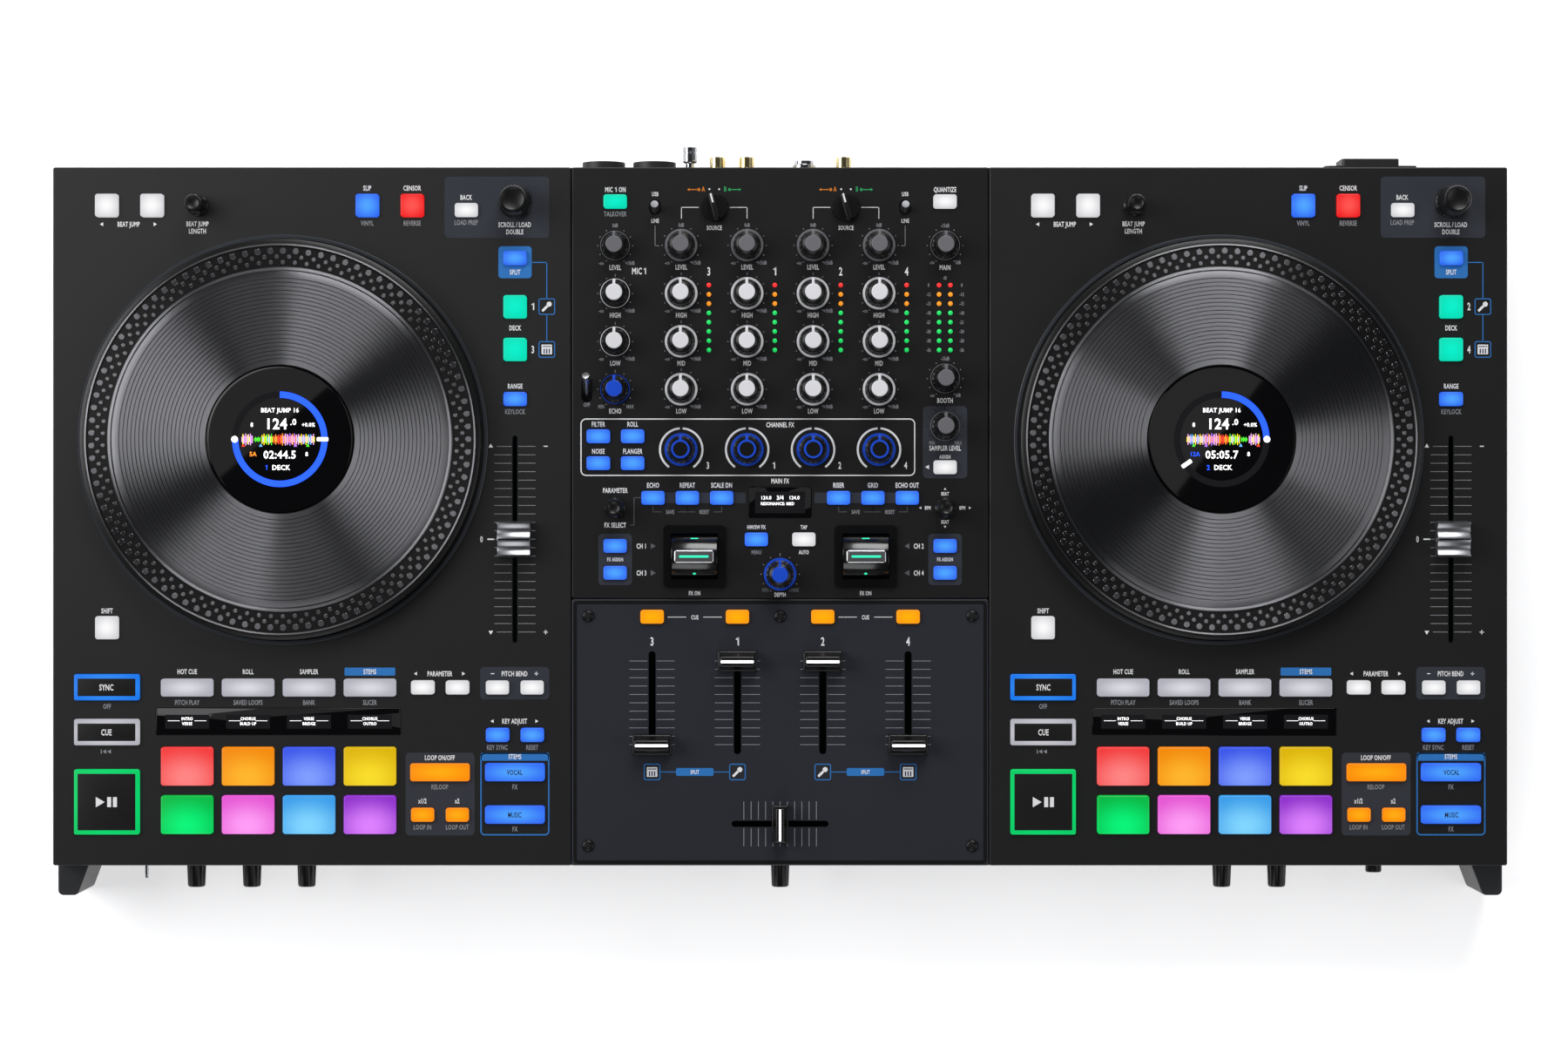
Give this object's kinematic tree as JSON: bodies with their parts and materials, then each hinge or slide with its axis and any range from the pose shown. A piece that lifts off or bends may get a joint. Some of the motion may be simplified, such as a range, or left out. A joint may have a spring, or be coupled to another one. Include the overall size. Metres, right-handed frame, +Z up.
{
  "type": "dj controller",
  "caption": "Flat console with a turntable-style jog wheel on each side, a mixer between them, and rows of lit buttons, pads, knobs and faders.",
  "frame": {"origin": "on the supporting surface, under the middle of the whole controller", "axes": "+X from the left deck to the right deck, +Y away from the player, +Z up"},
  "size_m": [0.784, 0.4074, 0.08],
  "materials": {
    "case_plastic": "fine-grained black plastic",
    "base_steel": "black powder coat",
    "deck_face": "satin black paint with a fine texture",
    "mixer_face": "satin black paint with a fine texture",
    "fader_face": "satin dark blue-grey paint",
    "rubber": "matt black rubber",
    "fixing": "blackened steel",
    "platter": "grooved satin black",
    "display_glass": "glossy black window",
    "bearing": "ground steel",
    "lens": "tinted clear plastic",
    "socket": "black moulded plastic",
    "connector": "gold and nickel plate",
    "board": "green solder mask",
    "control": "soft-touch black plastic",
    "key": "translucent satin plastic, lit from below",
    "pad": "translucent silicone, lit from below",
    "fader_cap": "satin black plastic with a white line",
    "pitch_cap": "brushed satin metal",
    "paddle": "satin metal lever on a black drum"
  },
  "bodies": {
    "chassis": {"bottom_plate": "base_steel", "front_panel": "case_plastic", "rear_panel": "case_plastic", "side_panels": "case_plastic", "left_deck_panel": "deck_face", "right_deck_panel": "deck_face", "mixer_panel": "mixer_face", "fader_plate": "fader_face", "front_legs": "case_plastic", "rubber_feet": "rubber", "panel_screws": "fixing", "jog_displays": "display_glass", "jog_bearings": "bearing", "display_windows": "lens", "panel_sockets": "socket", "line_sockets": "connector", "circuit_boards": "board", "auxiliary_controls": "control", "paddle_housings": "case_plastic"},
    "left_platter": {"left_platter": "platter"},
    "right_platter": {"right_platter": "platter"},
    "left_pitch_fader": {"left_pitch_fader": "pitch_cap"},
    "right_pitch_fader": {"right_pitch_fader": "pitch_cap"},
    "channel_1_fader": {"channel_1_fader": "fader_cap"},
    "channel_2_fader": {"channel_2_fader": "fader_cap"},
    "channel_3_fader": {"channel_3_fader": "fader_cap"},
    "channel_4_fader": {"channel_4_fader": "fader_cap"},
    "crossfader": {"crossfader": "fader_cap"},
    "left_fx_paddle": {"left_fx_paddle": "paddle"},
    "right_fx_paddle": {"right_fx_paddle": "paddle"},
    "performance_pads": {"performance_pads": "pad"},
    "deck_buttons": {"deck_buttons": "key"},
    "mixer_buttons": {"mixer_buttons": "key"},
    "left_browse_encoder": {"left_browse_encoder": "control"},
    "right_browse_encoder": {"right_browse_encoder": "control"},
    "left_source_selector": {"left_source_selector": "control"},
    "right_source_selector": {"right_source_selector": "control"},
    "fx_depth_knob": {"fx_depth_knob": "control"},
    "fx_parameter_encoder": {"fx_parameter_encoder": "control"},
    "fx_beat_encoder": {"fx_beat_encoder": "control"},
    "channel_3_level_knob": {"channel_3_level_knob": "control"},
    "channel_1_level_knob": {"channel_1_level_knob": "control"},
    "channel_2_level_knob": {"channel_2_level_knob": "control"},
    "channel_4_level_knob": {"channel_4_level_knob": "control"},
    "channel_3_high_knob": {"channel_3_high_knob": "control"},
    "channel_1_high_knob": {"channel_1_high_knob": "control"},
    "channel_2_high_knob": {"channel_2_high_knob": "control"},
    "channel_4_high_knob": {"channel_4_high_knob": "control"},
    "channel_3_mid_knob": {"channel_3_mid_knob": "control"},
    "channel_1_mid_knob": {"channel_1_mid_knob": "control"},
    "channel_2_mid_knob": {"channel_2_mid_knob": "control"},
    "channel_4_mid_knob": {"channel_4_mid_knob": "control"},
    "channel_3_low_knob": {"channel_3_low_knob": "control"},
    "channel_1_low_knob": {"channel_1_low_knob": "control"},
    "channel_2_low_knob": {"channel_2_low_knob": "control"},
    "channel_4_low_knob": {"channel_4_low_knob": "control"},
    "channel_3_fx_knob": {"channel_3_fx_knob": "control"},
    "channel_1_fx_knob": {"channel_1_fx_knob": "control"},
    "channel_2_fx_knob": {"channel_2_fx_knob": "control"},
    "channel_4_fx_knob": {"channel_4_fx_knob": "control"}
  },
  "joints": [
    {"name": "left_platter_turn", "type": "hinge", "parent": "chassis", "child": "left_platter", "pos_m": [-0.26795, 0.0433, 0.06], "axis": [0, 0, 1], "continuous": true},
    {"name": "right_platter_turn", "type": "hinge", "parent": "chassis", "child": "right_platter", "pos_m": [0.23655, 0.0433, 0.06], "axis": [0, 0, 1], "continuous": true},
    {"name": "left_pitch_slide", "type": "slide", "parent": "chassis", "child": "left_pitch_fader", "axis": [0, 1, 0], "range_m": [-0.05, 0.05]},
    {"name": "right_pitch_slide", "type": "slide", "parent": "chassis", "child": "right_pitch_fader", "axis": [0, 1, 0], "range_m": [-0.05, 0.05]},
    {"name": "channel_1_fader_slide", "type": "slide", "parent": "chassis", "child": "channel_1_fader", "axis": [0, 1, 0], "range_m": [-0.045, 0]},
    {"name": "channel_2_fader_slide", "type": "slide", "parent": "chassis", "child": "channel_2_fader", "axis": [0, 1, 0], "range_m": [-0.045, 0]},
    {"name": "channel_3_fader_slide", "type": "slide", "parent": "chassis", "child": "channel_3_fader", "axis": [0, 1, 0], "range_m": [0, 0.045]},
    {"name": "channel_4_fader_slide", "type": "slide", "parent": "chassis", "child": "channel_4_fader", "axis": [0, 1, 0], "range_m": [0, 0.045]},
    {"name": "crossfader_slide", "type": "slide", "parent": "chassis", "child": "crossfader", "axis": [1, 0, 0], "range_m": [-0.0195, 0.0195]},
    {"name": "left_fx_paddle_tilt", "type": "hinge", "parent": "chassis", "child": "left_fx_paddle", "pos_m": [-0.0461, -0.0195, 0.057], "axis": [1, 0, 0], "range_deg": [-20, 20], "stiffness_Nm_per_rad": 0.05},
    {"name": "right_fx_paddle_tilt", "type": "hinge", "parent": "chassis", "child": "right_fx_paddle", "pos_m": [0.0461, -0.0195, 0.057], "axis": [1, 0, 0], "range_deg": [-20, 20], "stiffness_Nm_per_rad": 0.05},
    {"name": "performance_pads_press", "type": "slide", "parent": "chassis", "child": "performance_pads", "axis": [0, 0, 1], "range_m": [-0.0012, 0], "stiffness_N_per_m": 2000, "springref_m": 0.001},
    {"name": "deck_buttons_press", "type": "slide", "parent": "chassis", "child": "deck_buttons", "axis": [0, 0, 1], "range_m": [-0.0012, 0], "stiffness_N_per_m": 2000, "springref_m": 0.001},
    {"name": "mixer_buttons_press", "type": "slide", "parent": "chassis", "child": "mixer_buttons", "axis": [0, 0, 1], "range_m": [-0.0012, 0], "stiffness_N_per_m": 2000, "springref_m": 0.001},
    {"name": "left_browse_turn", "type": "hinge", "parent": "chassis", "child": "left_browse_encoder", "pos_m": [-0.14265, 0.1715, 0.06], "axis": [0, 0, 1], "continuous": true},
    {"name": "right_browse_turn", "type": "hinge", "parent": "chassis", "child": "right_browse_encoder", "pos_m": [0.36185, 0.1715, 0.06], "axis": [0, 0, 1], "continuous": true},
    {"name": "left_source_turn", "type": "hinge", "parent": "chassis", "child": "left_source_selector", "pos_m": [-0.0355, 0.1684, 0.06], "axis": [0, 0, 1], "range_deg": [-45, 45]},
    {"name": "right_source_turn", "type": "hinge", "parent": "chassis", "child": "right_source_selector", "pos_m": [0.0355, 0.1684, 0.06], "axis": [0, 0, 1], "range_deg": [-45, 45]},
    {"name": "fx_depth_turn", "type": "hinge", "parent": "chassis", "child": "fx_depth_knob", "pos_m": [0, -0.0292, 0.06], "axis": [0, 0, 1], "range_deg": [-150, 150]},
    {"name": "fx_parameter_turn", "type": "hinge", "parent": "chassis", "child": "fx_parameter_encoder", "pos_m": [-0.0889, 0.0066, 0.06], "axis": [0, 0, 1], "continuous": true},
    {"name": "fx_beat_turn", "type": "hinge", "parent": "chassis", "child": "fx_beat_encoder", "pos_m": [0.0889, 0.0066, 0.06], "axis": [0, 0, 1], "continuous": true},
    {"name": "channel_3_level_turn", "type": "hinge", "parent": "chassis", "child": "channel_3_level_knob", "pos_m": [-0.0533, 0.1481, 0.06], "axis": [0, 0, 1], "range_deg": [-150, 150]},
    {"name": "channel_1_level_turn", "type": "hinge", "parent": "chassis", "child": "channel_1_level_knob", "pos_m": [-0.01776, 0.1481, 0.06], "axis": [0, 0, 1], "range_deg": [-150, 150]},
    {"name": "channel_2_level_turn", "type": "hinge", "parent": "chassis", "child": "channel_2_level_knob", "pos_m": [0.01776, 0.1481, 0.06], "axis": [0, 0, 1], "range_deg": [-150, 150]},
    {"name": "channel_4_level_turn", "type": "hinge", "parent": "chassis", "child": "channel_4_level_knob", "pos_m": [0.0533, 0.1481, 0.06], "axis": [0, 0, 1], "range_deg": [-150, 150]},
    {"name": "channel_3_high_turn", "type": "hinge", "parent": "chassis", "child": "channel_3_high_knob", "pos_m": [-0.0533, 0.1222, 0.06], "axis": [0, 0, 1], "range_deg": [-150, 150]},
    {"name": "channel_1_high_turn", "type": "hinge", "parent": "chassis", "child": "channel_1_high_knob", "pos_m": [-0.01776, 0.1222, 0.06], "axis": [0, 0, 1], "range_deg": [-150, 150]},
    {"name": "channel_2_high_turn", "type": "hinge", "parent": "chassis", "child": "channel_2_high_knob", "pos_m": [0.01776, 0.1222, 0.06], "axis": [0, 0, 1], "range_deg": [-150, 150]},
    {"name": "channel_4_high_turn", "type": "hinge", "parent": "chassis", "child": "channel_4_high_knob", "pos_m": [0.0533, 0.1222, 0.06], "axis": [0, 0, 1], "range_deg": [-150, 150]},
    {"name": "channel_3_mid_turn", "type": "hinge", "parent": "chassis", "child": "channel_3_mid_knob", "pos_m": [-0.0533, 0.0963, 0.06], "axis": [0, 0, 1], "range_deg": [-150, 150]},
    {"name": "channel_1_mid_turn", "type": "hinge", "parent": "chassis", "child": "channel_1_mid_knob", "pos_m": [-0.01776, 0.0963, 0.06], "axis": [0, 0, 1], "range_deg": [-150, 150]},
    {"name": "channel_2_mid_turn", "type": "hinge", "parent": "chassis", "child": "channel_2_mid_knob", "pos_m": [0.01776, 0.0963, 0.06], "axis": [0, 0, 1], "range_deg": [-150, 150]},
    {"name": "channel_4_mid_turn", "type": "hinge", "parent": "chassis", "child": "channel_4_mid_knob", "pos_m": [0.0533, 0.0963, 0.06], "axis": [0, 0, 1], "range_deg": [-150, 150]},
    {"name": "channel_3_low_turn", "type": "hinge", "parent": "chassis", "child": "channel_3_low_knob", "pos_m": [-0.0533, 0.0705, 0.06], "axis": [0, 0, 1], "range_deg": [-150, 150]},
    {"name": "channel_1_low_turn", "type": "hinge", "parent": "chassis", "child": "channel_1_low_knob", "pos_m": [-0.01776, 0.0705, 0.06], "axis": [0, 0, 1], "range_deg": [-150, 150]},
    {"name": "channel_2_low_turn", "type": "hinge", "parent": "chassis", "child": "channel_2_low_knob", "pos_m": [0.01776, 0.0705, 0.06], "axis": [0, 0, 1], "range_deg": [-150, 150]},
    {"name": "channel_4_low_turn", "type": "hinge", "parent": "chassis", "child": "channel_4_low_knob", "pos_m": [0.0533, 0.0705, 0.06], "axis": [0, 0, 1], "range_deg": [-150, 150]},
    {"name": "channel_3_fx_turn", "type": "hinge", "parent": "chassis", "child": "channel_3_fx_knob", "pos_m": [-0.0533, 0.038, 0.06], "axis": [0, 0, 1], "range_deg": [-150, 150]},
    {"name": "channel_1_fx_turn", "type": "hinge", "parent": "chassis", "child": "channel_1_fx_knob", "pos_m": [-0.01776, 0.038, 0.06], "axis": [0, 0, 1], "range_deg": [-150, 150]},
    {"name": "channel_2_fx_turn", "type": "hinge", "parent": "chassis", "child": "channel_2_fx_knob", "pos_m": [0.01776, 0.038, 0.06], "axis": [0, 0, 1], "range_deg": [-150, 150]},
    {"name": "channel_4_fx_turn", "type": "hinge", "parent": "chassis", "child": "channel_4_fx_knob", "pos_m": [0.0533, 0.038, 0.06], "axis": [0, 0, 1], "range_deg": [-150, 150]}
  ]
}
